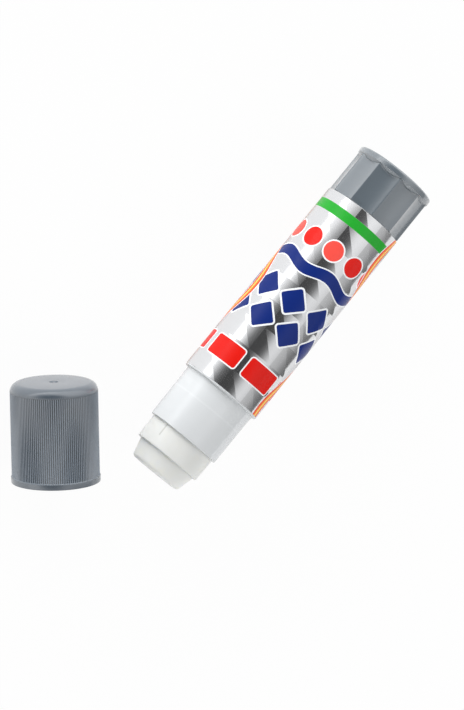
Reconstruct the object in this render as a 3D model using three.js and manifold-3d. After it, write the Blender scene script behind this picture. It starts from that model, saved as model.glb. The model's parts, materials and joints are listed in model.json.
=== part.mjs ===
// A twist-up glue stick lying beside its cap, in millimetres with +Z up.
// The stick lies along X with its tip towards +X. Turning the knob turns a coarse screw,
// which lifts a cup with the glue in it along a keyed inner tube.
import * as THREE from "three";
import { mergeVertices } from "three/addons/utils/BufferGeometryUtils.js";
import Module from "manifold-3d";

const wasm = await Module();
wasm.setup();

// Lengths along the stick, from the knob's closed end to the tip of the glue
const KNOB_LENGTH = 12.15;
const BODY_LENGTH = 51.3;
const SHOULDER_RIM = 0.4;
const NECK_LENGTH = 13.85;
const NOZZLE_LENGTH = 5.75;
const TIP_LENGTH = 4.4;

// Walls and clearances, from the glue outwards
const GLUE_RADIUS = 7.5;
const GLUE_GAP = 0.1;
const TUBE_WALL = 0.8;
const TUBE_FIT = 0.05;
const NECK_WALL = 0.67;
const BODY_AIR_GAP = 0.45;
const BODY_WALL = 0.95;
const LABEL_GAP = 0.01;
const LABEL_THICKNESS = 0.08;
const LABEL_MARGIN = 0.05;
const RUNNING_GAP = 0.15;
const SEAT_GAP = 0.05;
const ROUND_FACES = 48;

// Moulding drafts and edges
const BODY_DRAFT = 0.22;
const NECK_DRAFT = 0.07;
const NOZZLE_DRAFT = 0.1;
const TIP_DRAFT = 1.1;
const EDGE_ROUND = 0.25;
const RIM_ROUND = 0.35;
const TIP_ROUND = 0.6;
const ARC_STEPS = 3;

// Knob: wide concave flutes that end on a cone behind a thin flange
const FLUTE_COUNT = 10;
const FLUTE_HOLLOW = 0.37;
const FLUTE_FACES = 50;
const RAMP_SLOPE = 0.8;
const FLANGE_LENGTH = 1.4;
const FLANGE_PROUD = 0.1;
const FLANGE_ROUND = 0.5;
const KNOB_TURN = 12.6;
const KNOB_FLOOR = 1.6;
const KNOB_RECESS = 0.5;
const RECESS_RIM = 3.2;
const HUB_LENGTH = 3.05;
const HUB_WALL = 1;
const SNAP_HEIGHT = 0.3;
const SNAP_LENGTH = 0.6;
const SNAP_INSET = 0.8;
const BOSS_WALL = 1;
const BOSS_LENGTH = 6.5;

// Left-handed screw with two starts, and the nut that fits it
const SCREW_CORE = 2;
const SCREW_STARTS = 2;
const SCREW_LEAD = 7.2;
const THREAD_DEPTH = 0.9;
const THREAD_GAP = 0.38;
const CREST_HALF_ANGLE = 20;
const ROOT_HALF_ANGLE = 45;
const FLANK_GAP_ANGLE = 11;
const SLICES_PER_TURN = 12;
const SHANK_FIT = 0.05;

// Carrier: a cup for the foot of the glue, with the nut below it and keys on its skirt
const GLUE_TRAVEL = 50;
const CUP_HEIGHT = 5;
const CUP_WALL = 0.6;
const CUP_FLOOR = 1.2;
const SKIRT_LENGTH = 5.5;
const NUT_WALL = 1.4;
const KEY_COUNT = 4;
const KEY_WIDTH = 1.7;
const KEY_HEIGHT = 0.3;
const KEY_GAP = 0.12;
const STOP_GAP = 0.3;

// Collars that centre the inner tube in the barrel
const COLLAR_LENGTH = 1.2;
const LEDGE_BEHIND_RIM = 4.9;

// Cap: fine ribs between a smooth shoulder and a plain band
const CAP_HEIGHT = 22.6;
const CAP_FIT = 0.08;
const CAP_WALL = 0.52;
const CAP_TOP = 1.2;
const CAP_ROUND = 2.1;
const CAP_ROUND_STEPS = 5;
const CAP_MOUTH_LENGTH = 1.8;
const BAND_LENGTH = 1.25;
const BAND_PROUD = 0.17;
const RIB_COUNT = 128;
const RIB_DEPTH = 0.18;
const BEAD_LENGTH = 1.2;
const BEAD_HEIGHT = 0.09;
const SEAL_LENGTH = 4;
const SEAL_LEAD = 0.4;
const GATE_RADIUS = 1;
const GATE_DEPTH = 0.3;
const GATE_NUB = 0.35;

// Where the cap lies: its middle ahead of the tube's mouth, its clear distance from the stick,
// and the angle of its closed end from +X
const CAP_AHEAD = 11.52;
const CAP_BESIDE = 4.71;
const CAP_TURN = -137.64;

// Stations along the stick that follow from the lengths
const bodyStart = KNOB_LENGTH + RUNNING_GAP;
const shoulder = bodyStart + BODY_LENGTH;
const neckStart = shoulder + SHOULDER_RIM;
const neckEnd = shoulder + NECK_LENGTH;
const mouth = neckEnd + NOZZLE_LENGTH;
const tip = mouth + TIP_LENGTH;
const ledge = neckStart + LEDGE_BEHIND_RIM;
const hubEnd = KNOB_LENGTH + HUB_LENGTH;
const snapMiddle = hubEnd - SNAP_INSET;
const glueRetract = TIP_LENGTH + STOP_GAP;
const carrierStart = hubEnd + STOP_GAP + glueRetract;
const cupFloor = carrierStart + SKIRT_LENGTH;
const glueStart = cupFloor + CUP_FLOOR;
const cupTop = glueStart + CUP_HEIGHT;
const screwEnd = cupFloor + GLUE_TRAVEL;

// Radii that follow from the walls and clearances
const tubeBore = GLUE_RADIUS + GLUE_GAP;
const tubeRadius = tubeBore + TUBE_WALL;
const neckBore = tubeRadius + TUBE_FIT;
const neckRadius = neckBore + NECK_WALL;
const neckRootRadius = neckRadius + NECK_DRAFT;
const beadRadius = neckRootRadius + BEAD_HEIGHT;
const bodyBore = tubeRadius + BODY_AIR_GAP;
const bodyRadius = bodyBore + BODY_WALL;
const knobRadius = bodyRadius + LABEL_GAP + LABEL_THICKNESS;
const rimRadius = knobRadius + BODY_DRAFT + LABEL_GAP;
const flangeRadius = knobRadius + FLANGE_PROUD;
const hubRadius = tubeBore - RUNNING_GAP;
const cupRadius = tubeBore - RUNNING_GAP;
const screwRadius = SCREW_CORE + THREAD_DEPTH;
const boreRadius = screwRadius + THREAD_GAP;
const nutRadius = boreRadius + NUT_WALL;
const shankRadius = screwRadius;
const socketRadius = shankRadius + SHANK_FIT;
const keyReach = cupRadius + KEY_HEIGHT;
const capBore = neckRootRadius + CAP_FIT;
const capMouthRadius = beadRadius + CAP_FIT;
const capRadius = capMouthRadius + CAP_WALL;
const bandRadius = capRadius + BAND_PROUD;

const { degToRad } = THREE.MathUtils;

// Outer radius of the barrel's bare wall at a station of the body, which widens towards the neck
function bodyRadiusAt(x) {
  return bodyRadius + (BODY_DRAFT * (x - bodyStart)) / BODY_LENGTH;
}

function solidOf(geometry) {
  geometry.deleteAttribute("normal");
  geometry.deleteAttribute("uv");
  const merged = mergeVertices(geometry, 1e-4);
  return new wasm.Manifold(
    new wasm.Mesh({
      numProp: 3,
      vertProperties: merged.attributes.position.array,
      triVerts: new Uint32Array(merged.index.array),
    }),
  );
}

// Turns [x, radius] points round X. The profile starts and ends on the axis, or is closed here.
function turned(profile, faces = ROUND_FACES) {
  const points = profile.map(([x, radius]) => new THREE.Vector2(radius, x));
  if (points[0].x > 0) points.push(points[0].clone());
  return solidOf(new THREE.LatheGeometry(points, faces).rotateZ(-Math.PI / 2));
}

// A quarter round on an outer edge: from the side wall to the face that looks towards +X
function frontRound(x, radius, size, steps = ARC_STEPS) {
  return Array.from({ length: steps + 1 }, (_, i) => {
    const angle = (Math.PI / 2) * (1 - i / steps);
    return [x - size + size * Math.cos(angle), radius - size + size * Math.sin(angle)];
  });
}

// The same on the edge of a face that looks towards -X
function backRound(x, radius, size, steps = ARC_STEPS) {
  return frontRound(-x, radius, size, steps)
    .map(([behind, r]) => [-behind, r])
    .reverse();
}

// Sweeps a ring of [degrees, radius] points along X, turning with the screw's lead.
function twisted(section, start, end) {
  const slices = Math.ceil(((end - start) / SCREW_LEAD) * SLICES_PER_TURN);
  const count = section.length;
  const positions = [];
  for (let i = 0; i <= slices; i++) {
    const x = start + ((end - start) * i) / slices;
    for (const [degrees, radius] of section) {
      const angle = degToRad(degrees) - (2 * Math.PI * x) / SCREW_LEAD;
      positions.push(x, -radius * Math.sin(angle), radius * Math.cos(angle));
    }
  }
  const startCentre = positions.length / 3;
  positions.push(start, 0, 0, end, 0, 0);
  const faces = [];
  for (let j = 0; j < count; j++) {
    const next = (j + 1) % count;
    for (let i = 0; i < slices; i++) {
      const here = i * count;
      const ahead = here + count;
      faces.push(here + j, here + next, ahead + j, here + next, ahead + next, ahead + j);
    }
    const last = slices * count;
    faces.push(startCentre, next, j, startCentre + 1, last + j, last + next);
  }
  const geometry = new THREE.BufferGeometry();
  geometry.setAttribute("position", new THREE.Float32BufferAttribute(positions, 3));
  geometry.setIndex(faces);
  return solidOf(geometry);
}

// The screw's section, grown by a gap for the nut
function threadSection(gap, flankGap) {
  const pitch = 360 / SCREW_STARTS;
  const crest = CREST_HALF_ANGLE + flankGap;
  const root = ROOT_HALF_ANGLE + flankGap;
  return Array.from({ length: SCREW_STARTS }, (_, i) => [
    [i * pitch - crest, screwRadius + gap],
    [i * pitch, screwRadius + gap],
    [i * pitch + crest, screwRadius + gap],
    [i * pitch + root, SCREW_CORE + gap],
    [(i + 0.5) * pitch, SCREW_CORE + gap],
    [(i + 1) * pitch - root, SCREW_CORE + gap],
  ]).flat();
}

// Bars round the axis, one for each key, between two radii and two stations
function keyBars(width, inner, outer, start, end) {
  return Array.from({ length: KEY_COUNT }, (_, i) => {
    const bar = new THREE.BoxGeometry(end - start, width, outer - inner);
    bar.translate((start + end) / 2, 0, (inner + outer) / 2);
    bar.rotateX((2 * Math.PI * i) / KEY_COUNT);
    return solidOf(bar);
  });
}

// Fluted dial at the foot of the stick, with the hub that snaps into the inner tube
function makeKnob() {
  const recessRadius = knobRadius - RECESS_RIM;
  const wellRadius = hubRadius - HUB_WALL;
  const bossRadius = socketRadius + BOSS_WALL;
  const bossEnd = KNOB_FLOOR + BOSS_LENGTH;
  let knob = turned([
    [KNOB_RECESS, 0],
    [KNOB_RECESS, recessRadius - KNOB_RECESS],
    [0, recessRadius],
    ...backRound(0, flangeRadius, FLANGE_ROUND),
    [FLANGE_LENGTH, flangeRadius],
    [FLANGE_LENGTH + RAMP_SLOPE * FLANGE_PROUD, knobRadius],
    [KNOB_LENGTH, knobRadius],
    [KNOB_LENGTH, hubRadius],
    [snapMiddle - SNAP_LENGTH, hubRadius],
    [snapMiddle - SNAP_LENGTH / 2, hubRadius + SNAP_HEIGHT],
    [snapMiddle, hubRadius + SNAP_HEIGHT],
    [hubEnd, hubRadius],
    [hubEnd, wellRadius],
    [KNOB_FLOOR, wellRadius],
    [KNOB_FLOOR, bossRadius],
    [bossEnd, bossRadius],
    [bossEnd, socketRadius],
    [KNOB_FLOOR, socketRadius],
    [KNOB_FLOOR, 0],
  ]);
  // Round bars beside the knob cut its flutes as far as the flange.
  const halfAngle = Math.PI / FLUTE_COUNT;
  const halfChord = knobRadius * Math.sin(halfAngle);
  const bottomRadius = knobRadius * Math.cos(halfAngle) - FLUTE_HOLLOW;
  const cutterRadius = (halfChord ** 2 + FLUTE_HOLLOW ** 2) / (2 * FLUTE_HOLLOW);
  const cutterEnd = KNOB_LENGTH + RUNNING_GAP;
  const cutter = turned(
    [
      [FLANGE_LENGTH, 0],
      [FLANGE_LENGTH, cutterRadius],
      [cutterEnd, cutterRadius],
      [cutterEnd, 0],
    ],
    FLUTE_FACES,
  ).translate([0, 0, -bottomRadius - cutterRadius]);
  for (let i = 0; i < FLUTE_COUNT; i++) {
    const turn = KNOB_TURN + (360 * (i + 0.5)) / FLUTE_COUNT;
    knob = knob.subtract(cutter.rotate([turn, 0, 0]));
  }
  // A cone behind the flange fills their ends with ramps.
  const rampEnd = FLANGE_LENGTH + RAMP_SLOPE * (flangeRadius - bottomRadius);
  const ramp = turned([
    [FLANGE_LENGTH / 2, hubRadius],
    [FLANGE_LENGTH / 2, knobRadius],
    [FLANGE_LENGTH, flangeRadius],
    [rampEnd, bottomRadius],
    [rampEnd, hubRadius],
  ]);
  return knob.add(ramp);
}

// Coarse screw on a plain shank that is pressed into the knob's boss
function makeSpindle() {
  const threadStart = hubEnd - THREAD_DEPTH;
  const shank = turned([
    [KNOB_FLOOR, 0],
    [KNOB_FLOOR, shankRadius],
    [threadStart, shankRadius],
    [threadStart + THREAD_DEPTH, SCREW_CORE],
    [threadStart + THREAD_DEPTH, 0],
  ]);
  return shank.add(twisted(threadSection(0, 0), threadStart - THREAD_DEPTH, screwEnd));
}

// Clear outer sleeve: the labelled body, its rounded shoulder and the neck that takes the cap
function makeBarrel() {
  const beadEnd = neckStart + BEAD_LENGTH;
  return turned([
    [bodyStart, bodyBore],
    [bodyStart, bodyRadius],
    [shoulder, bodyRadiusAt(shoulder)],
    [shoulder, rimRadius],
    ...frontRound(neckStart, rimRadius, RIM_ROUND),
    [neckStart, beadRadius],
    [beadEnd - BEAD_HEIGHT * 2, beadRadius],
    [beadEnd, neckRootRadius],
    ...frontRound(neckEnd, neckRadius, EDGE_ROUND),
    [neckEnd, neckBore],
    [ledge, neckBore],
    [ledge, bodyBore],
  ]);
}

// Keyed tube that holds the glue and stands out of the neck as the mouth
function makeInnerTube() {
  const collarRadius = bodyBore - TUBE_FIT;
  const collarEnd = ledge - SEAT_GAP;
  const grooveReach = hubRadius + SNAP_HEIGHT + RUNNING_GAP;
  let tube = turned([
    [bodyStart, tubeBore],
    [bodyStart, collarRadius],
    [bodyStart + COLLAR_LENGTH, collarRadius],
    [bodyStart + COLLAR_LENGTH, tubeRadius],
    [collarEnd - COLLAR_LENGTH, tubeRadius],
    [collarEnd - COLLAR_LENGTH, collarRadius],
    [collarEnd, collarRadius],
    [collarEnd, tubeRadius],
    [neckEnd, tubeRadius],
    ...frontRound(mouth, tubeRadius - NOZZLE_DRAFT, EDGE_ROUND),
    [mouth, tubeBore + EDGE_ROUND / 2],
    [mouth - EDGE_ROUND / 2, tubeBore],
    [hubEnd, tubeBore],
    [snapMiddle + RUNNING_GAP, grooveReach],
    [snapMiddle - SNAP_LENGTH / 2 - RUNNING_GAP, grooveReach],
    [snapMiddle - SNAP_LENGTH - RUNNING_GAP, tubeBore],
  ]);
  const keywayEnd = glueStart + GLUE_TRAVEL + STOP_GAP;
  const keywayWidth = KEY_WIDTH + 2 * KEY_GAP;
  const keyways = keyBars(keywayWidth, hubRadius, keyReach + KEY_GAP, bodyStart - SEAT_GAP, keywayEnd);
  for (const keyway of keyways) tube = tube.subtract(keyway);
  return tube;
}

// Printed foil wrapped round the body
function makeLabel() {
  const start = bodyStart + LABEL_MARGIN;
  const end = shoulder - LABEL_MARGIN;
  const inner = (x) => bodyRadiusAt(x) + LABEL_GAP;
  const outer = (x) => inner(x) + LABEL_THICKNESS;
  return turned([
    [start, inner(start)],
    [start, outer(start)],
    [end, outer(end)],
    [end, inner(end)],
  ]);
}

function makeCarrier() {
  const cupBore = cupRadius - CUP_WALL;
  let carrier = turned([
    [carrierStart, 0],
    [carrierStart, nutRadius],
    [cupFloor, nutRadius],
    [cupFloor, cupBore],
    [carrierStart, cupBore],
    [carrierStart, cupRadius],
    [cupTop, cupRadius],
    [cupTop, cupBore],
    [glueStart, cupBore],
    [glueStart, 0],
  ]);
  for (const key of keyBars(KEY_WIDTH, cupBore + CUP_WALL / 2, keyReach, carrierStart, glueStart)) {
    carrier = carrier.add(key);
  }
  const nutBore = twisted(
    threadSection(THREAD_GAP, FLANK_GAP_ANGLE),
    carrierStart - STOP_GAP,
    glueStart + STOP_GAP,
  );
  return carrier.subtract(nutBore);
}

// Glue cast in the cup round the screw's path, with a tapered tip
function makeGlue() {
  const footRadius = cupRadius - CUP_WALL - GLUE_GAP;
  const boreEnd = screwEnd + glueRetract + STOP_GAP;
  return turned([
    [boreEnd, 0],
    [boreEnd, boreRadius],
    [glueStart, boreRadius],
    [glueStart, footRadius],
    [cupTop + SEAT_GAP, footRadius],
    [cupTop + SEAT_GAP, GLUE_RADIUS],
    [mouth, GLUE_RADIUS],
    ...frontRound(tip, GLUE_RADIUS - TIP_DRAFT, TIP_ROUND),
    [tip, 0],
  ]);
}

// Outline of the cap's ribs: a peak and a valley for each rib
function ribOutline() {
  return Array.from({ length: 2 * RIB_COUNT }, (_, i) => {
    const angle = (Math.PI * i) / RIB_COUNT;
    const radius = capRadius - (i % 2) * RIB_DEPTH;
    return new THREE.Vector2(radius * Math.cos(angle), radius * Math.sin(angle));
  });
}

// Push-on cap, made from its mouth at x = 0 to its closed end
function makeCap() {
  const valleyRadius = capRadius - RIB_DEPTH;
  const ribEnd = CAP_HEIGHT - CAP_ROUND;
  const body = turned([
    [0, 0],
    ...backRound(0, bandRadius, EDGE_ROUND),
    [BAND_LENGTH, bandRadius],
    [BAND_LENGTH + BAND_PROUD, valleyRadius],
    [ribEnd, valleyRadius],
    ...frontRound(CAP_HEIGHT, capRadius, CAP_ROUND, CAP_ROUND_STEPS),
    [CAP_HEIGHT, GATE_RADIUS],
    [CAP_HEIGHT - GATE_DEPTH, GATE_RADIUS - GATE_DEPTH / 2],
    [CAP_HEIGHT - GATE_DEPTH, GATE_NUB],
    [CAP_HEIGHT - GATE_DEPTH / 3, GATE_NUB],
    [CAP_HEIGHT - GATE_DEPTH / 3, 0],
  ]);
  const ribs = new THREE.ExtrudeGeometry(new THREE.Shape(ribOutline()), {
    depth: ribEnd - BAND_LENGTH,
    bevelEnabled: false,
  });
  ribs.rotateY(Math.PI / 2).translate(BAND_LENGTH, 0, 0);
  const ceiling = CAP_HEIGHT - CAP_TOP;
  const sealRadius = tubeRadius + CAP_FIT;
  const hollow = turned([
    [-EDGE_ROUND, 0],
    [-EDGE_ROUND, capMouthRadius + EDGE_ROUND],
    [EDGE_ROUND, capMouthRadius],
    [CAP_MOUTH_LENGTH, capMouthRadius],
    [CAP_MOUTH_LENGTH + BEAD_HEIGHT, capBore],
    [ceiling - SEAL_LENGTH - SEAL_LEAD, capBore],
    [ceiling - SEAL_LENGTH, sealRadius],
    [ceiling, sealRadius],
    [ceiling, 0],
  ]);
  return body.add(solidOf(ribs)).subtract(hollow);
}

function material(color, roughness, options = {}) {
  return new THREE.MeshStandardMaterial({ color, roughness, metalness: 0, ...options });
}

const greyPlastic = material(0x7d868d, 0.42);
const clearPlastic = material(0xe1e7ea, 0.3, { transparent: true, opacity: 0.55 });
const milkyPlastic = material(0xe8e7df, 0.35, { transparent: true, opacity: 0.8 });
const whitePlastic = material(0xf2f2ee, 0.5);
const foil = material(0xc9ccd0, 0.25, { metalness: 0.9 });
const glueWax = material(0xe9e9e3, 0.6);

function mesh(name, solid, finish) {
  const { numProp, vertProperties, triVerts } = solid.getMesh();
  const geometry = new THREE.BufferGeometry();
  const vertices = new THREE.InterleavedBuffer(vertProperties, numProp);
  geometry.setAttribute("position", new THREE.InterleavedBufferAttribute(vertices, 3, 0));
  geometry.setIndex(new THREE.BufferAttribute(triVerts, 1));
  const made = new THREE.Mesh(geometry, finish);
  made.name = name;
  return made;
}

const stick = new THREE.Group();
stick.position.z = Math.max(rimRadius, flangeRadius);
stick.add(
  mesh("knob", makeKnob(), greyPlastic),
  mesh("spindle", makeSpindle(), whitePlastic),
  mesh("barrel", makeBarrel(), clearPlastic),
  mesh("inner_tube", makeInnerTube(), milkyPlastic),
  mesh("label", makeLabel(), foil),
  mesh("carrier", makeCarrier(), whitePlastic),
  mesh("glue", makeGlue(), glueWax),
);

// The cap lies on its side, turned about its middle.
const cap = mesh("cap", makeCap(), greyPlastic);
cap.position.x = -CAP_HEIGHT / 2;
const capPlace = new THREE.Group();
capPlace.add(cap);
capPlace.rotation.z = degToRad(CAP_TURN);
capPlace.position.set(mouth + CAP_AHEAD, -(rimRadius + bandRadius + CAP_BESIDE), bandRadius);

// Both are set so that the origin is under the middle of the whole.
const pair = new THREE.Group();
pair.add(stick, capPlace);
const middle = new THREE.Box3().setFromObject(pair, true).getCenter(new THREE.Vector3());
pair.position.set(-middle.x, -middle.y, 0);

const part = new THREE.Group();
part.add(pair);
export default part;
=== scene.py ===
# A twist-up glue stick and its cap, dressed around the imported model.
# Shapes are drawn in millimetres along X from the knob's closed end, or from the cap's mouth,
# and settle() then takes them to metres at their place in the frame.
import json
from math import asin, atan2, cos, pi, radians, sin, sqrt, tan

import bmesh
import bpy
from mathutils import Matrix, Vector, noise


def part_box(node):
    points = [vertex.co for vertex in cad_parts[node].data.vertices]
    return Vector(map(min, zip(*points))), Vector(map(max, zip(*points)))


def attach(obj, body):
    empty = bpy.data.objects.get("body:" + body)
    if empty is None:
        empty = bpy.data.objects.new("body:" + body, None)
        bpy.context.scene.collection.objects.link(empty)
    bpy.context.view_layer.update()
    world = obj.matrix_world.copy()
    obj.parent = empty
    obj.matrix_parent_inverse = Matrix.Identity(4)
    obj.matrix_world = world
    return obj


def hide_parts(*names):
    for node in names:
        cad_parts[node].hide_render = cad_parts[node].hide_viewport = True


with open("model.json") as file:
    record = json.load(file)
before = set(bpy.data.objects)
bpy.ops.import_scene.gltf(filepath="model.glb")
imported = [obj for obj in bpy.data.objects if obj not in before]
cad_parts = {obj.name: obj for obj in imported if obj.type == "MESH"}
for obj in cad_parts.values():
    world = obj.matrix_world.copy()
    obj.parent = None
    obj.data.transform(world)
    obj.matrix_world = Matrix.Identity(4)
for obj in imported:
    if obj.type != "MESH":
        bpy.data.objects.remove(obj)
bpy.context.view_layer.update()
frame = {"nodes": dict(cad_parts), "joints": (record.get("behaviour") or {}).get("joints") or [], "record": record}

MM = 0.001

# Stations along the stick
KNOB_END = 12.15
BODY_START = 12.3
HUB_END = 15.2
GLUE_START = 26.9
CUP_TOP = 31.9
SHOULDER = 63.6
NECK_START = 64
BEAD_END = 64.6
BEAD_FOOT = 66
LEDGE = 68.9
KEYWAY_END = 77.2
NECK_END = 77.45
GLUE_BORE_END = 80.7
MOUTH = 83.2
TIP = 87.6

# Radii from the screw's path outwards
SCREW_PATH = 3.28
GLUE_FOOT = 6.75
GLUE_RADIUS = 7.5
GLUE_TIP = 6.4
HUB_RADIUS = 7.45
TUBE_BORE = 7.6
KEYWAY_RADIUS = 7.87
TUBE_RADIUS = 8.4
NOZZLE_RADIUS = 8.3
COLLAR_RADIUS = 8.8
NECK_BORE = 8.45
BODY_BORE = 8.85
NECK_RADIUS = 9.12
NECK_ROOT = 9.19
BEAD_RADIUS = 9.28
BODY_RADIUS = 9.8
KNOB_RADIUS = 9.89
FLANGE_RADIUS = 9.99
SHOULDER_RADIUS = 10.02
RIM_RADIUS = 10.12

# Glue
TIP_ROUND = 0.9
CUP_GAP = 0.05
GLUE_UNEVENNESS = 0.03
WAVES_ALONG = 0.5
WAVES_AROUND = 2.2

# Barrel
RIM_ROUND = 0.33
RIM_BACK_ROUND = 0.04
BEAD_FADE = 1

# Knob
FLUTE_COUNT = 10
FLUTE_HOLLOW = 0.37
FLUTE_TURN = 12.6
FLANGE_LENGTH = 1.4
FLANGE_ROUND = 0.5
RAMP_SLOPE = 0.8
RAMP_ROWS = 30
RAMP_STEP = 0.04
CREASE_WIDTH = 0.2
CREASE_DEPTH = 0.1
CUSP_WIDTH = 0.5
CUSP_BLEND = 0.2
KNOB_FLOOR = 1.6
RECESS_DEPTH = 0.5
RECESS_RADIUS = 6.69
SNAP_MIDDLE = 14.4
SNAP_FOOT = 0.6
SNAP_HEIGHT = 0.3
SNAP_SLANT = 0.3
WELL_RADIUS = 6.45
BOSS_RADIUS = 3.95
BOSS_END = 8.1
SOCKET_RADIUS = 2.95

# Tube
COLLAR_LENGTH = 1.2
COLLAR_END = 68.85
KEYWAY_COUNT = 4
KEYWAY_WIDTH = 1.94
KEYWAY_FLANK = 0.02

# Label
LABEL_START = 12.35
LABEL_END = 63.55
FOIL_GAP = 0.01
FOIL_THICKNESS = 0.08
LABEL_RADIUS = BODY_RADIUS + FOIL_GAP + FOIL_THICKNESS
FOIL_ROUND = 0.03
SEAM_STEP = 0.03
SEAM_OVERLAP = 3
SEAM_TURN = 196
SEAM_SLIT = 0.001

# Cap
CAP_HEIGHT = 22.6
CAP_RADIUS = 9.88
CAP_ROUND = 2.1
CAP_ROUND_GAP = 0.01
BAND_RADIUS = 10.05
BAND_LENGTH = 1.25
BAND_STEP = 0.1
RIB_COUNT = 128
RIB_DEPTH = 0.19
RIB_COLUMNS = 6
RIB_FADE = 0.12
CAP_BORE = 9.27
CAP_MOUTH_RADIUS = 9.36
CAP_MOUTH_LENGTH = 1.8
CAP_MOUTH_STEP = 0.09
SEAL_RADIUS = 8.48
SEAL_START = 17.4
SEAL_LEAD = 0.4
CAP_CEILING = 21.4
CEILING_ROUND = 0.4
GATE_RADIUS = 1
GATE_DEPTH = 0.3
GATE_NUB = 0.35
GATE_NUB_ROUND = 0.08

# Rounds that several edges have
EDGE = 0.1
SOFT_EDGE = 0.2
FILLET = 0.3
RIM_EDGE = 0.12
LIP_ROUND = 0.28
THIN_EDGE = 0.05

# Mesh fineness
ROUND_FACES = 160
ARC_STEPS = 6
FLUTE_STEPS = 20
RIDGE_STEPS = 8
KEY_STEPS = 6
WALL_STEPS = 12
GLUE_STEPS = 24
TIP_STEPS = 8
WELD = 0.0005
SHARP_ANGLE = 50

# Where the stick and its cap lie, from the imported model
knob_low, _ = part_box("knob")
label_low, label_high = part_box("label")
cap_low, cap_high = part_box("cap")
stick_axis = (label_low + label_high) / 2
stick_place = Matrix.Translation((knob_low.x, stick_axis.y, stick_axis.z))
cap_pull = next(joint for joint in frame["joints"] if joint["name"] == "cap_pull")
cap_axis = Vector(cap_pull["axis"]).normalized()
cap_top = next(Vector(mount["pos_m"]) for mount in frame["record"]["mounts"] if mount["name"] == "cap_top")
cap_top.z = (cap_low.z + cap_high.z) / 2
cap_place = Matrix.Translation(cap_top - cap_axis * CAP_HEIGHT * MM) @ Matrix.Rotation(
    atan2(cap_axis.y, cap_axis.x), 4, "Z"
)

# The photograph's camera, which looks at a point on the table under the stick
AIM_ALONG = 55.13
AIM_ASIDE = 0.61
CAMERA_AZIMUTH = 10.83
CAMERA_ELEVATION = 68.2
CAMERA_ROLL = 118.92
CAMERA_DISTANCE = 792.8
FOCAL_LENGTH = 174.93
SENSOR_WIDTH = 36
NEAREST_SEEN = 0.01
FARTHEST_SEEN = 20

# Degrees from straight up to the middle of the label's front, which faces the camera
PRINT_TURN = 21.67


def towards(azimuth, elevation):
    """The direction to a viewer or lamp at this azimuth and elevation in degrees."""
    a, e = radians(azimuth), radians(elevation)
    return Vector((sin(a) * cos(e), -cos(a) * cos(e), sin(e)))


def aimed(target, azimuth, elevation, distance, roll=0):
    """The place of a camera or lamp that looks at a target."""
    back = towards(azimuth, elevation)
    level = (-back).to_track_quat("-Z", "Y").to_matrix().to_4x4()
    return Matrix.Translation(target + back * distance) @ level @ Matrix.Rotation(radians(roll), 4, "Z")


def make_camera():
    data = bpy.data.cameras.new("camera")
    data.lens, data.sensor_width = FOCAL_LENGTH, SENSOR_WIDTH
    data.clip_start, data.clip_end = NEAREST_SEEN, FARTHEST_SEEN
    camera = bpy.data.objects.new("camera", data)
    bpy.context.collection.objects.link(camera)
    aim = Vector((knob_low.x + AIM_ALONG * MM, stick_axis.y + AIM_ASIDE * MM, 0))
    camera.matrix_world = aimed(aim, CAMERA_AZIMUTH, CAMERA_ELEVATION, CAMERA_DISTANCE * MM, CAMERA_ROLL)
    bpy.context.scene.camera = camera


def colour(red, green, blue):
    """A colour written in the usual steps of 0 to 255, in the linear values that shaders take."""
    return (*(((c / 255 + 0.055) / 1.055) ** 2.4 for c in (red, green, blue)), 1)


class Tree:
    """A short way to write a node tree. Values are numbers, colours or the outputs of other nodes."""

    def __init__(self, tree):
        self.tree = tree

    def add(self, kind, inputs=None, **settings):
        node = self.tree.nodes.new(kind)
        for name, value in settings.items():
            setattr(node, name, value)
        for key, value in (inputs or {}).items():
            self.feed(node.inputs[key], value)
        return node

    def feed(self, socket, value):
        if isinstance(value, bpy.types.NodeSocket):
            self.tree.links.new(value, socket)
        else:
            socket.default_value = value

    def math(self, operation, *values):
        return self.add("ShaderNodeMath", dict(enumerate(values)), operation=operation).outputs[0]

    def vector(self, operation, *values):
        return self.add("ShaderNodeVectorMath", dict(enumerate(values)), operation=operation).outputs[0]

    def measure(self, operation, *vectors):
        """A number got from vectors, such as a length."""
        return self.add("ShaderNodeVectorMath", dict(enumerate(vectors)), operation=operation).outputs[1]

    def scaled(self, vector, by):
        return self.add("ShaderNodeVectorMath", {0: vector, "Scale": by}, operation="SCALE").outputs[0]

    def ramp(self, value, low, high, to_low=0.0, to_high=1.0):
        """Takes value from the range low to high to another range, and holds it there."""
        inputs = {0: value, 1: low, 2: high, 3: to_low, 4: to_high}
        return self.add("ShaderNodeMapRange", inputs).outputs[0]

    def grades(self, value, stops):
        """Takes a value through some (value, level) stops to a level."""
        low, high = stops[0][0], stops[-1][0]
        node = self.add("ShaderNodeValToRGB", {0: self.ramp(value, low, high)})
        elements = node.color_ramp.elements
        for place, _ in stops[1:-1]:
            elements.new((place - low) / (high - low))
        for element, (_, level) in zip(elements, stops):
            element.color = (level, level, level, 1)
        return node.outputs[0]

    def blend(self, share, first, second):
        return self.add("ShaderNodeMix", {0: share, 6: first, 7: second}, data_type="RGBA").outputs[2]

    def noise(self, place, scale, detail):
        return self.add("ShaderNodeTexNoise", {"Vector": place, "Scale": scale, "Detail": detail}).outputs[0]

    def place(self):
        return self.add("ShaderNodeTexCoord").outputs["Object"]

    def group(self, group, inputs):
        node = self.add("ShaderNodeGroup", node_tree=group)
        for key, value in inputs.items():
            self.feed(node.inputs[key], value)
        return node.outputs


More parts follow.
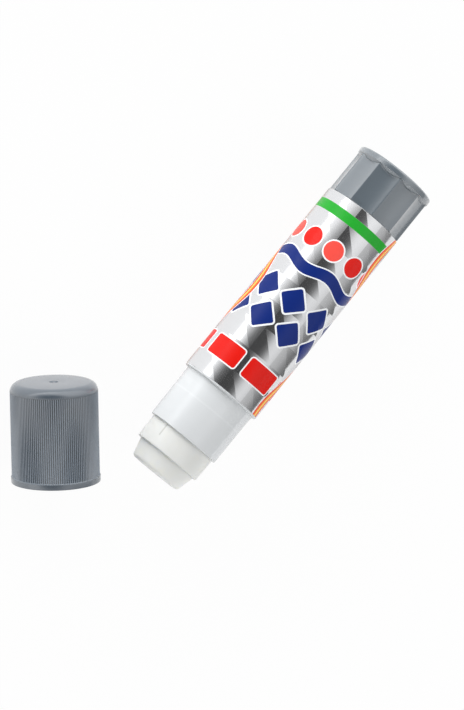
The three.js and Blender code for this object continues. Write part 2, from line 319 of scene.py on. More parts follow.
def new_group(name, inputs, outputs):
    """A shader node group with these sockets: its tree, what it is given and what it gives."""
    group = bpy.data.node_groups.new(name, "ShaderNodeTree")
    for label, kind, usual in inputs:
        socket = group.interface.new_socket(label, in_out="INPUT", socket_type="NodeSocket" + kind)
        socket.default_value = usual
    for label, kind in outputs:
        group.interface.new_socket(label, in_out="OUTPUT", socket_type="NodeSocket" + kind)
    tree = Tree(group)
    return group, tree, tree.add("NodeGroupInput").outputs, tree.add("NodeGroupOutput").inputs


# How much the grain counts in the gloss of moulded plastic, and the noise that spans its two glosses
GRAIN_IN_GLOSS = 0.3
GLOSS_RANGE = (0.4, 0.9)


def moulded_surface_group():
    """The skin of moulded plastic or cast wax: cloudy colour, uneven gloss and a fine grain."""
    group, tree, given, gives = new_group(
        "moulded_surface",
        [
            ("Place", "Vector", (0, 0, 0)),
            ("Colour", "Color", (1, 1, 1, 1)),
            ("Cloudiness", "Float", 0.05),
            ("Cloud Scale", "Float", 90),
            ("Gloss Low", "Float", 0.3),
            ("Gloss High", "Float", 0.45),
            ("Grain Scale", "Float", 4500),
        ],
        [("Colour", "Color"), ("Roughness", "Float"), ("Grain", "Float")],
    )
    clouds = tree.noise(given["Place"], given["Cloud Scale"], 3)
    grain = tree.noise(given["Place"], given["Grain Scale"], 2)
    change = tree.math("MULTIPLY", tree.math("SUBTRACT", clouds, 0.5), given["Cloudiness"])
    tree.feed(gives["Colour"], tree.scaled(given["Colour"], tree.math("MULTIPLY_ADD", change, 2.0, 1.0)))
    gloss = tree.math("ADD", clouds, tree.math("MULTIPLY", grain, GRAIN_IN_GLOSS))
    low, high = GLOSS_RANGE
    tree.feed(gives["Roughness"], tree.ramp(gloss, low, high, given["Gloss Low"], given["Gloss High"]))
    tree.feed(gives["Grain"], grain)
    return group


def around_stick_group():
    """Distances in millimetres round the stick from the label's front, and along it from the knob's end."""
    group, tree, given, gives = new_group(
        "around_stick",
        [("Place", "Vector", (0, 0, 0)), ("Radius", "Float", SHOULDER_RADIUS)],
        [("Around", "Float"), ("Along", "Float")],
    )
    start = (knob_low.x, stick_axis.y, stick_axis.z)
    apart = tree.add("ShaderNodeSeparateXYZ", {0: tree.vector("SUBTRACT", given["Place"], start)}).outputs
    angle = tree.math("ARCTAN2", tree.math("MULTIPLY", apart["Y"], -1.0), apart["Z"])
    turned_back = tree.math("SUBTRACT", angle, radians(PRINT_TURN))
    tree.feed(gives["Around"], tree.math("MULTIPLY", turned_back, given["Radius"]))
    tree.feed(gives["Along"], tree.math("DIVIDE", apart["X"], MM))
    return group


def foil_facets_group():
    """Prismatic foil: square cells in flattened columns, cut by diagonals into halves that lean apart."""
    group, tree, given, gives = new_group(
        "foil_facets",
        [
            ("Around", "Float", 0),
            ("Along", "Float", 0),
            ("Column Width", "Float", 6.3),
            ("Row Height", "Float", 6),
            ("Lean", "Float", 0.07),
            ("Column Lean", "Float", 0.1),
            ("Unevenness", "Float", 0.02),
        ],
        [("Normal", "Vector")],
    )
    column = tree.math("DIVIDE", given["Around"], given["Column Width"])
    row = tree.math("DIVIDE", given["Along"], given["Row Height"])
    cell = tree.add(
        "ShaderNodeCombineXYZ", {"X": tree.math("FLOOR", column), "Y": tree.math("FLOOR", row)}
    ).outputs[0]
    across = tree.math("ADD", tree.math("FRACT", column), tree.math("FRACT", row))
    upper = tree.math("GREATER_THAN", across, 1.0)
    cell_side = tree.vector("ADD", cell, tree.add("ShaderNodeCombineXYZ", {"Z": upper}).outputs[0])
    chance = tree.add("ShaderNodeTexWhiteNoise", {"Vector": cell_side}, noise_dimensions="3D")
    chances = tree.add("ShaderNodeSeparateXYZ", {0: chance.outputs["Color"]}).outputs
    side = tree.math("MULTIPLY", tree.math("MULTIPLY_ADD", upper, 2.0, -1.0), given["Lean"])
    leans = [
        tree.math("MULTIPLY_ADD", tree.math("SUBTRACT", chances[axis], 0.5), given["Unevenness"], side)
        for axis in ("X", "Y")
    ]
    from_middle = tree.math("SUBTRACT", 0.5, tree.math("FRACT", column))
    column_lean = tree.math("MULTIPLY", given["Column Lean"], 2.0)
    flattened = tree.math("MULTIPLY_ADD", from_middle, column_lean, leans[0])
    normal = tree.add("ShaderNodeNewGeometry").outputs["Normal"]
    around = tree.vector("CROSS_PRODUCT", (1, 0, 0), normal)
    leaning = tree.vector("ADD", normal, tree.scaled(around, flattened))
    along = tree.add("ShaderNodeCombineXYZ", {"X": leans[1]}).outputs[0]
    tree.feed(gives["Normal"], tree.vector("NORMALIZE", tree.vector("ADD", leaning, along)))
    return group


def block_group():
    """Distance from the edge of a printed block with round corners, less than nothing inside it."""
    group, tree, given, gives = new_group(
        "printed_block",
        [
            ("Around", "Float", 0),
            ("Along", "Float", 0),
            ("Middle", "Float", 0),
            ("Half Width", "Float", 1),
            ("Half Height", "Float", 1),
            ("Corner", "Float", 0.3),
            ("Turn", "Float", 0),
        ],
        [("Distance", "Float")],
    )
    spot = tree.add(
        "ShaderNodeCombineXYZ",
        {"X": given["Around"], "Y": tree.math("SUBTRACT", given["Along"], given["Middle"])},
    ).outputs[0]
    turned_spot = tree.add("ShaderNodeVectorRotate", {"Vector": spot, "Angle": given["Turn"]}).outputs[0]
    apart = tree.add("ShaderNodeSeparateXYZ", {0: tree.vector("ABSOLUTE", turned_spot)}).outputs
    past = [
        tree.math("ADD", tree.math("SUBTRACT", apart[axis], given[half]), given["Corner"])
        for axis, half in (("X", "Half Width"), ("Y", "Half Height"))
    ]
    outside = [tree.math("MAXIMUM", p, 0.0) for p in past]
    squares = tree.math("MULTIPLY_ADD", outside[0], outside[0], tree.math("MULTIPLY", outside[1], outside[1]))
    inside = tree.math("MINIMUM", tree.math("MAXIMUM", *past), 0.0)
    edge = tree.math("ADD", tree.math("SQRT", squares), inside)
    tree.feed(gives["Distance"], tree.math("SUBTRACT", edge, given["Corner"]))
    return group


def new_material(name, **sockets):
    """A material whose Principled shader has these plain values, with its tree and shader."""
    material = bpy.data.materials.new(name)
    material.use_nodes = True
    shader = material.node_tree.nodes["Principled BSDF"]
    for label, value in sockets.items():
        shader.inputs[label.replace("_", " ")].default_value = value
    return material, Tree(material.node_tree), shader


def bump(tree, shader, height, strength, depth):
    """Fine relief on a shader, depth being the height of it in metres."""
    made = tree.add("ShaderNodeBump", {"Strength": strength, "Distance": depth, "Height": height})
    tree.feed(shader.inputs["Normal"], made.outputs[0])


# The plastics' colours, the ledge inside the neck painted paler where light shows it through the wall, and the
# mould's mark beside the mouth
KNOB_GREY = colour(97, 107, 115)
CAP_GREY = colour(82, 91, 101)
# Painted highlight for the cap's rib crests and painted shade for the hollows between them
RIB_CREST_HIGHLIGHT = colour(126, 137, 149)
RIB_HOLLOW_SHADE = colour(36, 43, 51)
NATURAL = colour(238, 238, 232)
WAX = colour(234, 235, 232)
FROST = colour(230, 233, 235)
# A paler band painted along the ledge, standing in for light through the neck's wall
FROST_LEDGE_PAINTED_LIGHT = colour(235, 238, 240)
LEDGE_LINE = 0.05
LEDGE_BLUR = 0.35
MILK = colour(229, 230, 227)
MILK_MARK = colour(176, 176, 168)
MARK_ASIDE = 4.8
MARK_LENGTH = 3
MARK_WIDTH = 0.12
MARK_BLUR = 0.22
MARK_SHARE = 0.5


def ribs_painted_light_colour(tree):
    """The cap's colour with painted light: a painted highlight on the crests of its ribs and painted shade between
    them.
    """
    from_top = tree.vector("SUBTRACT", tree.place(), tuple(cap_top))
    down = tree.measure("DOT_PRODUCT", from_top, tuple(-cap_axis))
    radius = tree.measure("LENGTH", tree.vector("CROSS_PRODUCT", from_top, tuple(cap_axis)))
    height = tree.ramp(radius, (CAP_RADIUS - RIB_DEPTH) * MM, CAP_RADIUS * MM)
    below_round = tree.math("GREATER_THAN", down, CAP_ROUND * MM)
    above_band = tree.math("LESS_THAN", down, (CAP_HEIGHT - BAND_LENGTH - BAND_STEP) * MM)
    # Painted shade in the rib hollows, blending to a painted highlight on the crests
    ribs = tree.blend(height, RIB_HOLLOW_SHADE, RIB_CREST_HIGHLIGHT)
    return tree.blend(tree.math("MULTIPLY", below_round, above_band), CAP_GREY, ribs)


def neck_colour_painted_ledge(tree, around_stick):
    """The neck's colour, with painted light: a shade paler along the ledge inside it, painted where light through
    the wall shows the ledge faintly.
    """
    along = tree.group(around_stick, {"Place": tree.place()})["Along"]
    away = tree.math("ABSOLUTE", tree.math("SUBTRACT", along, LEDGE))
    return tree.blend(tree.ramp(away, LEDGE_LINE, LEDGE_BLUR, 1.0, 0.0), FROST, FROST_LEDGE_PAINTED_LIGHT)


def nozzle_colour(tree, around_stick, block):
    """The tube's colour, with a short faint mark of the mould beside its mouth."""
    around, along = tree.group(around_stick, {"Place": tree.place(), "Radius": NOZZLE_RADIUS})
    aside = tree.math("SUBTRACT", around, MARK_ASIDE)
    spot = {"Around": aside, "Along": along, "Middle": NECK_END + MARK_LENGTH / 2}
    size = {"Half Width": MARK_WIDTH / 2, "Half Height": MARK_LENGTH / 2, "Corner": MARK_WIDTH / 2}
    away = tree.group(block, {**spot, **size})["Distance"]
    return tree.blend(tree.ramp(away, 0.0, MARK_BLUR, MARK_SHARE, 0.0), MILK, MILK_MARK)


def moulded(name, surface, values, grain=0.3, grain_depth=0.00002, paint=None, **sockets):
    """A material with the moulded surface, given its values there and the shader's plain ones."""
    material, tree, shader = new_material(name, **sockets)
    if paint:
        values = {**values, "Colour": paint(tree)}
    skin = tree.group(surface, {"Place": tree.place(), **values})
    tree.feed(shader.inputs["Base Color"], skin["Colour"])
    tree.feed(shader.inputs["Roughness"], skin["Roughness"])
    bump(tree, shader, skin["Grain"], grain, grain_depth)
    return material


# The label's print: a green ring, discs, a wave, lozenges and bars, with a flame-coloured wave down each side
GREEN = colour(40, 165, 50)
NAVY = colour(22, 44, 118)
RED = colour(224, 30, 22)
CORAL = colour(244, 84, 74)
ORANGE = colour(240, 110, 30)
YELLOW = colour(252, 214, 90)
WHITE = colour(244, 246, 248)
FOIL = colour(235, 236, 238)

LABEL_GIRTH = 2 * pi * SHOULDER_RADIUS
RING_MIDDLE = 16.1
RING_HALF_HEIGHT = 1.2
DISC_PAIRS = 5
DISC_MIDDLE = 23.9
DISC_RADIUS = 2.35
DISC_OUTLINE = 0.35
WAVE_COUNT = 5
WAVE_MIDDLE = 30.1
WAVE_HALF_HEIGHT = 1.35
WAVE_SWING = 0.75
LOZENGE_COUNT = 8
LOZENGE_ROWS = ((38.4, 0.0), (45.0, 0.5))
LOZENGE_HALF_SIDE = 2.5
LOZENGE_CORNER = 0.5
LOZENGE_OUTLINE = 0.42
BAR_COUNT = 6
BAR_MIDDLE = 56.3
BAR_HALF_WIDTH = 4.3
BAR_HALF_HEIGHT = 2.5
BAR_CORNER = 0.6
RIBBON_START = 8.5
RIBBON_WAVE = 42
RIBBON_SWING = 3.9
RIBBON_HALF_WIDTH = 1.5
RIBBON_RED = 0.35
RIBBON_ORANGE = 1.15
ORANGE_SHARE = 0.9
OUTLINE = 0.3
INK_EDGE = 0.03

# The foil below the print: its facets, how far they lean where bare or inked, and its brushed gloss
FACET_COLUMNS = 10
FACET_ROW = 5.96
FACET_COLUMN_START = 1.1
FACET_ROW_START = 11.18
LEAN_INKED = 0.01
LEAN_GAIN = 0.03
COLUMN_LEAN_INKED = 0.02
COLUMN_LEAN_GAIN = 0.07
BRUSH_SCALE = (300, 5000, 5000)
FOIL_ROUGHNESS = 0.1
BRUSH_ROUGHNESS = 0.06
INK_ROUGHNESS = 0.1
FOIL_METALLIC = 0.95


class Print:
    """The inks on the foil, laid one over the other: their colour, and how much of the foil they hide."""

    def __init__(self, tree, around, along):
        self.tree, self.around, self.along = tree, around, along
        self.colour, self.hidden = FOIL, 0.0

    def every(self, copies, shift=0.0):
        """Distance round the stick from the nearest of some even copies."""
        pitch = LABEL_GIRTH / copies
        moved = self.tree.math("ADD", self.around, LABEL_GIRTH + pitch / 2 - shift * pitch)
        return self.tree.math("SUBTRACT", self.tree.math("MODULO", moved, pitch), pitch / 2)

    def ink(self, distance, paint, share=1.0):
        """Lays ink where the distance is below nothing."""
        mask = self.tree.ramp(distance, -INK_EDGE, INK_EDGE, share, 0.0)
        self.colour = self.tree.blend(mask, self.colour, paint)
        self.hidden = self.tree.math("MAXIMUM", self.hidden, mask)

    def outlined(self, distance, paint, outline=OUTLINE):
        self.ink(self.tree.math("SUBTRACT", distance, outline), WHITE)
        self.ink(distance, paint)

    def band(self, middle, half_height, swing=0.0, waves=1):
        """Distance from the edge of a ring round the label, straight or waving."""
        turn = self.tree.math("MULTIPLY", self.around, 2 * pi * waves / LABEL_GIRTH)
        centre = self.tree.math("MULTIPLY_ADD", self.tree.math("SINE", turn), swing, middle)
        away = self.tree.math("ABSOLUTE", self.tree.math("SUBTRACT", self.along, centre))
        return self.tree.math("SUBTRACT", away, half_height)


def printed_foil(around_stick, facets, block):
    """The label's material, a print over faceted foil."""
    material, tree, shader = new_material("printed_foil", IOR=1.35, Specular_IOR_Level=0.4)
    around, along = tree.group(around_stick, {"Place": tree.place()})
    print_ = Print(tree, around, along)
    # Discs near the knob, a wave, two staggered rows of lozenges and a row of bars
    for shift, paint in ((0.0, CORAL), (0.5, RED)):
        spot = {"Around": print_.every(DISC_PAIRS, shift), "Along": along, "Middle": DISC_MIDDLE}
        size = {"Half Width": DISC_RADIUS, "Half Height": DISC_RADIUS, "Corner": DISC_RADIUS}
        print_.outlined(tree.group(block, {**spot, **size})["Distance"], paint, DISC_OUTLINE)
    print_.outlined(print_.band(WAVE_MIDDLE, WAVE_HALF_HEIGHT, WAVE_SWING, WAVE_COUNT), NAVY)
    half = LOZENGE_HALF_SIDE
    size = {"Half Width": half, "Half Height": half, "Corner": LOZENGE_CORNER, "Turn": pi / 4}
    for middle, shift in LOZENGE_ROWS:
        spot = {"Around": print_.every(LOZENGE_COUNT, shift), "Along": along, "Middle": middle}
        print_.outlined(tree.group(block, {**spot, **size})["Distance"], NAVY, LOZENGE_OUTLINE)
    spot = {"Around": print_.every(BAR_COUNT, 0.5), "Along": along, "Middle": BAR_MIDDLE}
    size = {"Half Width": BAR_HALF_WIDTH, "Half Height": BAR_HALF_HEIGHT, "Corner": BAR_CORNER}
    print_.outlined(tree.group(block, {**spot, **size})["Distance"], RED)
    print_.ink(print_.band(RING_MIDDLE, RING_HALF_HEIGHT), GREEN)
    # A waving ribbon down each side, from a red edge to a yellow core
    aside = print_.every(2, 0.5)
    turn = tree.math("MULTIPLY", tree.math("SUBTRACT", along, RIBBON_START), 2 * pi / RIBBON_WAVE)
    swung = tree.math("MULTIPLY_ADD", tree.math("SINE", turn), -RIBBON_SWING, aside)
    ribbon = tree.math("SUBTRACT", tree.math("ABSOLUTE", swung), RIBBON_HALF_WIDTH)
    print_.outlined(ribbon, RED)
    print_.ink(tree.math("ADD", ribbon, RIBBON_RED), ORANGE, ORANGE_SHARE)
    print_.ink(tree.math("ADD", ribbon, RIBBON_ORANGE), YELLOW)
    # Ink dulls the foil below it, and the facets show less through it
    bare = tree.math("SUBTRACT", 1.0, print_.hidden)
    given = {
        "Around": tree.math("SUBTRACT", around, FACET_COLUMN_START),
        "Along": tree.math("SUBTRACT", along, FACET_ROW_START),
        "Column Width": LABEL_GIRTH / FACET_COLUMNS,
        "Row Height": FACET_ROW,
        "Lean": tree.math("MULTIPLY_ADD", bare, LEAN_GAIN, LEAN_INKED),
        "Column Lean": tree.math("MULTIPLY_ADD", bare, COLUMN_LEAN_GAIN, COLUMN_LEAN_INKED),
    }
    leaning = tree.group(facets, given)
    brushed_place = tree.add("ShaderNodeMapping", {"Vector": tree.place(), "Scale": BRUSH_SCALE})
    brushed = tree.noise(brushed_place.outputs[0], 1, 2)
    gloss = tree.math("MULTIPLY_ADD", brushed, BRUSH_ROUGHNESS, FOIL_ROUGHNESS)
    tree.feed(shader.inputs["Roughness"], tree.math("MULTIPLY_ADD", print_.hidden, INK_ROUGHNESS, gloss))
    tree.feed(shader.inputs["Base Color"], print_.colour)
    tree.feed(shader.inputs["Metallic"], tree.math("MULTIPLY", bare, FOIL_METALLIC))
    tree.feed(shader.inputs["Normal"], leaning["Normal"])
    return material


def make_materials():
    surface = moulded_surface_group()
    around_stick, block = around_stick_group(), block_group()
    return {
        "grey": moulded(
            "grey_plastic",
            surface,
            {"Colour": KNOB_GREY, "Gloss Low": 0.13, "Gloss High": 0.18},
            IOR=1.8,
            Specular_IOR_Level=1,
            Sheen_Weight=0.9,
            Sheen_Roughness=0.45,
        ),
        "cap": moulded(
            "cap_plastic",
            surface,
            {"Gloss Low": 0.14, "Gloss High": 0.2},
            # The cap's ribs get a painted highlight on their crests and painted shade between them
            paint=ribs_painted_light_colour,
            IOR=1.65,
            Specular_IOR_Level=1,
            Sheen_Weight=0.3,
            Sheen_Roughness=0.4,
        ),
        "frosted": moulded(
            "frosted_plastic",
            surface,
            {"Gloss Low": 0.08, "Gloss High": 0.12, "Cloudiness": 0.01},
            grain=0.1,
            paint=lambda tree: neck_colour_painted_ledge(tree, around_stick),
            Transmission_Weight=0.12,
            IOR=1.5,
            Specular_IOR_Level=0.8,
        ),
        "milky": moulded(
            "milky_plastic",
            surface,
            {"Gloss Low": 0.3, "Gloss High": 0.4, "Cloudiness": 0.02},
            paint=lambda tree: nozzle_colour(tree, around_stick, block),
            Subsurface_Weight=0.5,
            Subsurface_Radius=(1, 0.95, 0.85),
            Subsurface_Scale=0.001,
            IOR=1.45,
        ),
        "natural": moulded(
            "natural_plastic",
            surface,
            {"Colour": NATURAL, "Gloss Low": 0.4, "Gloss High": 0.55},
            IOR=1.5,
        ),
        "wax": moulded(
            "glue_wax",
            surface,
            {"Colour": WAX, "Gloss Low": 0.4, "Gloss High": 0.6, "Grain Scale": 1800},
            grain=0.4,
            grain_depth=0.00004,
            Subsurface_Weight=0.6,
            Subsurface_Radius=(1, 0.95, 0.8),
            Subsurface_Scale=0.0015,
            IOR=1.45,
        ),
        "foil": printed_foil(around_stick, foil_facets_group(), block),
    }


def outline(corners):
    """Points of a closed outline of [station, radius] corners, where a third value rounds a corner."""
    points = []
    for i, (station, radius, *size) in enumerate(corners):
        here = Vector((station, radius))
        if not size:
            points.append(here)
            continue
        behind = (Vector(corners[i - 1][:2]) - here).normalized()
        ahead = (Vector(corners[(i + 1) % len(corners)][:2]) - here).normalized()
        half = behind.angle(ahead) / 2
        centre = here + (behind + ahead).normalized() * (size[0] / sin(half))
        first = here + behind * (size[0] / tan(half)) - centre
        last = here + ahead * (size[0] / tan(half)) - centre
        sweep = first.angle_signed(last)
        turns = [-sweep * step / ARC_STEPS for step in range(ARC_STEPS + 1)]
        points += [centre + Matrix.Rotation(turn, 2) @ first for turn in turns]
    return points


def even_angles(count):
    return [2 * pi * i / count for i in range(count)]


def turned(name, points, angles, radius_at=None, whole=True):
    """A mesh from an outline turned round X through some angles, which meet again if it is whole."""
    form = bmesh.new()
    rings = []
    for station, radius in points:
        ring = []
        for angle in angles:
            r = radius_at(station, radius, angle) if radius_at else radius
            ring.append(form.verts.new((station, -r * sin(angle), r * cos(angle))))
        rings.append(ring)
    steps = len(angles) if whole else len(angles) - 1
    for i, ring in enumerate(rings):
        ahead = rings[(i + 1) % len(rings)]
        for j in range(steps):
            k = (j + 1) % len(angles)
            form.faces.new((ring[j], ring[k], ahead[k], ahead[j]))
    bmesh.ops.remove_doubles(form, verts=form.verts, dist=WELD)
    mesh = bpy.data.meshes.new(name)
    form.to_mesh(mesh)
    form.free()
    return mesh


def settle(name, mesh, place, finish, body, node):
    """Makes a finished piece of a mesh: faces outwards, soft shading, its place in the mesh, and its body."""
    form = bmesh.new()
    form.from_mesh(mesh)
    bmesh.ops.remove_doubles(form, verts=form.verts, dist=WELD)
    bmesh.ops.recalc_face_normals(form, faces=form.faces)
    form.to_mesh(mesh)
    form.free()
    mesh.shade_smooth()
    mesh.set_sharp_from_angle(angle=radians(SHARP_ANGLE))
    mesh.transform(place @ Matrix.Scale(MM, 4))
    mesh.materials.clear()
    mesh.materials.append(finish)
    piece = bpy.data.objects.new(name, mesh)
    bpy.context.collection.objects.link(piece)
    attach(piece, body)
    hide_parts(node)


def ring_of_sectors_tree():
    """A node tree that turns even copies of a sector round X and welds them into one closed mesh."""
    group = bpy.data.node_groups.new("ring_of_sectors", "GeometryNodeTree")
    sockets = (
        ("Geometry", "Geometry"),
        ("Sector", "Object"),
        ("Count", "Int"),
        ("Turn", "Float"),
        ("Weld", "Float"),
        ("Finish", "Material"),
    )
    for label, kind in sockets:
        group.interface.new_socket(label, in_out="INPUT", socket_type="NodeSocket" + kind)
    group.interface.new_socket("Geometry", in_out="OUTPUT", socket_type="NodeSocketGeometry")
    tree = Tree(group)
    given = tree.add("NodeGroupInput").outputs
    sector = tree.add("GeometryNodeObjectInfo", {"Object": given["Sector"]}).outputs["Geometry"]
    spots = tree.add("GeometryNodePoints", {"Count": given["Count"]}).outputs[0]
    step = tree.math("DIVIDE", 2 * pi, given["Count"])
    index = tree.add("GeometryNodeInputIndex").outputs[0]
    angle = tree.math("MULTIPLY_ADD", index, step, given["Turn"])
    turn = tree.add("ShaderNodeCombineXYZ", {"X": angle}).outputs[0]
    copies = tree.add("GeometryNodeInstanceOnPoints", {"Points": spots, "Instance": sector, "Rotation": turn})
    real = tree.add("GeometryNodeRealizeInstances", {0: copies.outputs[0]}).outputs[0]
    welded = tree.add("GeometryNodeMergeByDistance", {"Geometry": real, "Distance": given["Weld"]}).outputs[0]
    finished = tree.add("GeometryNodeSetMaterial", {"Geometry": welded, "Material": given["Finish"]})
    tree.feed(tree.add("NodeGroupOutput").inputs[0], finished.outputs[0])
    return group


def from_sectors(name, tree, sector, count, turn, finish):
    """A mesh of even copies of a sector, made by the node tree and then left plain."""
    pattern = bpy.data.objects.new(name + "_sector", sector)
    holder = bpy.data.objects.new(name + "_ring", bpy.data.meshes.new(name + "_ring"))
    for thing in (pattern, holder):
        bpy.context.collection.objects.link(thing)
    modifier = holder.modifiers.new("ring", "NODES")
    modifier.node_group = tree
    values = {"Sector": pattern, "Count": count, "Turn": turn, "Weld": WELD, "Finish": finish}
    for socket in tree.interface.items_tree:
        if socket.in_out == "INPUT" and socket.name in values:
            modifier[socket.identifier] = values[socket.name]
    ready = bpy.context.evaluated_depsgraph_get()
    mesh = bpy.data.meshes.new_from_object(holder.evaluated_get(ready), depsgraph=ready)
    mesh.name = name
    holder.modifiers.remove(modifier)
    for thing in (pattern, holder):
        bpy.data.objects.remove(thing)
    return mesh


def flute_radius(angle):
    """Radius of the bottom of the knob's flute at an angle from its middle."""
    half = pi / FLUTE_COUNT
    chord = KNOB_RADIUS * sin(half)
    bottom = KNOB_RADIUS * cos(half) - FLUTE_HOLLOW
    cutter = (chord ** 2 + FLUTE_HOLLOW ** 2) / (2 * FLUTE_HOLLOW)
    reach = bottom + cutter
    return reach * cos(angle) - sqrt(cutter ** 2 - (reach * sin(angle)) ** 2)


def soft_lower(a, b, blend):
    """The lower of two values, with the corner between them rounded."""
    share = max(blend - abs(a - b), 0) / blend
    return min(a, b) - share ** 2 * blend / 4


def knob_radius(station, radius, angle):
    """Cuts a flute into the outside of the knob's outline, up to the cone behind the flange."""
    if radius <= HUB_RADIUS or station <= FLANGE_LENGTH or station >= KNOB_END + WELD:
        return radius
    fluted = soft_lower(KNOB_RADIUS, flute_radius(angle), CUSP_BLEND)
    cone = FLANGE_RADIUS - (station - FLANGE_LENGTH) / RAMP_SLOPE
    crease = CREASE_DEPTH * max(0, 1 - abs(cone - fluted) / CREASE_WIDTH)
    inset = max(0, KNOB_RADIUS - radius) if station > KNOB_END / 2 else 0
    return max(cone, fluted) - crease - inset


def make_knob(tree, finish):
    ramp = [(FLANGE_LENGTH + RAMP_STEP * i, KNOB_RADIUS) for i in range(1, RAMP_ROWS)]
    outside = outline([
        (RECESS_DEPTH, 0),
        (RECESS_DEPTH, RECESS_RADIUS - RECESS_DEPTH, SOFT_EDGE),
        (0, RECESS_RADIUS, FILLET),
        (0, FLANGE_RADIUS, FLANGE_ROUND),
        (FLANGE_LENGTH, FLANGE_RADIUS, THIN_EDGE),
        *ramp,
        (KNOB_END, KNOB_RADIUS, RIM_EDGE),
        (KNOB_END, HUB_RADIUS),
        (SNAP_MIDDLE - SNAP_FOOT, HUB_RADIUS, SOFT_EDGE),
        (SNAP_MIDDLE - SNAP_SLANT, HUB_RADIUS + SNAP_HEIGHT, EDGE),
        (SNAP_MIDDLE, HUB_RADIUS + SNAP_HEIGHT, EDGE),
        (HUB_END, HUB_RADIUS, EDGE),
        (HUB_END, WELL_RADIUS, EDGE),
        (KNOB_FLOOR, WELL_RADIUS, FILLET),
        (KNOB_FLOOR, BOSS_RADIUS, FILLET),
        (BOSS_END, BOSS_RADIUS, SOFT_EDGE),
        (BOSS_END, SOCKET_RADIUS, EDGE),
        (KNOB_FLOOR, SOCKET_RADIUS),
        (KNOB_FLOOR, 0),
    ])
    half = pi / FLUTE_COUNT
    cusp = CUSP_WIDTH / KNOB_RADIUS
    hollow = [(half - cusp) * (2 * i / FLUTE_STEPS - 1) for i in range(FLUTE_STEPS + 1)]
    ridge = [half - cusp * (1 - i / RIDGE_STEPS) for i in range(1, RIDGE_STEPS + 1)]
    angles = [-angle for angle in reversed(ridge)] + hollow + ridge
    sector = turned("knob_sector", outside, angles, knob_radius, whole=False)
    mesh = from_sectors("knob_body", tree, sector, FLUTE_COUNT, radians(FLUTE_TURN) + half, finish)
    settle("fluted_knob", mesh, stick_place, finish, "dial", "knob")


def make_barrel(finish):
    points = outline([
        (BODY_START, BODY_BORE, EDGE),
        (BODY_START, BODY_RADIUS, EDGE),
        (SHOULDER, SHOULDER_RADIUS),
        (SHOULDER, RIM_RADIUS, RIM_BACK_ROUND),
        (NECK_START, RIM_RADIUS, RIM_ROUND),
        (NECK_START, BEAD_RADIUS, RIM_EDGE),
        (BEAD_END, BEAD_RADIUS, SOFT_EDGE),
        (BEAD_FOOT, NECK_ROOT, BEAD_FADE),
        (NECK_END, NECK_RADIUS, LIP_ROUND),
        (NECK_END, NECK_BORE, EDGE),
        (LEDGE, NECK_BORE),
        (LEDGE, BODY_BORE),
    ])
    mesh = turned("barrel_body", points, even_angles(ROUND_FACES))
    settle("clear_barrel", mesh, stick_place, finish, "barrel", "barrel")


def keyed_radius(station, radius, angle):
    """Sinks a keyway into the tube's bore in the middle of each sector."""
    half = asin(KEYWAY_WIDTH / 2 / TUBE_BORE)
    if radius < TUBE_BORE + WELD and station < KEYWAY_END and abs(angle) < half:
        return KEYWAY_RADIUS
    return radius


def make_inner_tube(tree, finish):
    points = outline([
        (BODY_START, TUBE_BORE),
        (BODY_START, COLLAR_RADIUS, EDGE),
        (BODY_START + COLLAR_LENGTH, COLLAR_RADIUS, EDGE),
        (BODY_START + COLLAR_LENGTH, TUBE_RADIUS, EDGE),
        (COLLAR_END - COLLAR_LENGTH, TUBE_RADIUS, EDGE),
        (COLLAR_END - COLLAR_LENGTH, COLLAR_RADIUS, EDGE),
        (COLLAR_END, COLLAR_RADIUS, EDGE),
        (COLLAR_END, TUBE_RADIUS, EDGE),
        (NECK_END, TUBE_RADIUS),
        (MOUTH, NOZZLE_RADIUS, LIP_ROUND),
        (MOUTH, TUBE_BORE, RIM_EDGE),
        (KEYWAY_END + KEYWAY_FLANK, TUBE_BORE),
        (KEYWAY_END - KEYWAY_FLANK, TUBE_BORE),
    ])
    edge = asin(KEYWAY_WIDTH / 2 / TUBE_BORE)
    quarter = pi / KEYWAY_COUNT
    flank = KEYWAY_FLANK / TUBE_BORE
    key = [edge * (2 * i / KEY_STEPS - 1) * (1 - flank) for i in range(KEY_STEPS + 1)]
    wall = [edge + flank + (quarter - edge - flank) * i / WALL_STEPS for i in range(WALL_STEPS + 1)]
    angles = [-angle for angle in reversed(wall)] + key + wall
    sector = turned("tube_sector", points, angles, keyed_radius, whole=False)
    mesh = from_sectors("tube_body", tree, sector, KEYWAY_COUNT, 0, finish)
    settle("keyed_tube", mesh, stick_place, finish, "barrel", "inner_tube")


def label_radius(station, radius, angle):
    """The label follows the barrel's draft, and its end laps over its start at the seam."""
    draft = (SHOULDER_RADIUS - BODY_RADIUS) * (station - BODY_START) / (SHOULDER - BODY_START)
    past = (angle - radians(SEAM_TURN)) % (2 * pi) * LABEL_RADIUS
    lap = max(0, 1 - past / SEAM_OVERLAP) if past < SEAM_OVERLAP else 0
    return radius + draft + SEAM_STEP * lap


def make_label(finish):
    inner = BODY_RADIUS + FOIL_GAP
    points = outline([
        (LABEL_START, inner),
        (LABEL_START, LABEL_RADIUS, FOIL_ROUND),
        (LABEL_END, LABEL_RADIUS, FOIL_ROUND),
        (LABEL_END, inner),
    ])
    seam = radians(SEAM_TURN)
    angles = [seam + angle for angle in even_angles(ROUND_FACES)] + [seam + 2 * pi - SEAM_SLIT]
    mesh = turned("label_wrap", points, angles, label_radius)
    settle("foil_label", mesh, stick_place, finish, "barrel", "label")


def glue_radius(station, radius, angle):
    """The side of the cast glue is a little uneven."""
    if radius < GLUE_FOOT:
        return radius
    spot = Vector((station * WAVES_ALONG, cos(angle) * WAVES_AROUND, sin(angle) * WAVES_AROUND))
    return radius - GLUE_UNEVENNESS * (0.5 + 0.5 * noise.noise(spot))


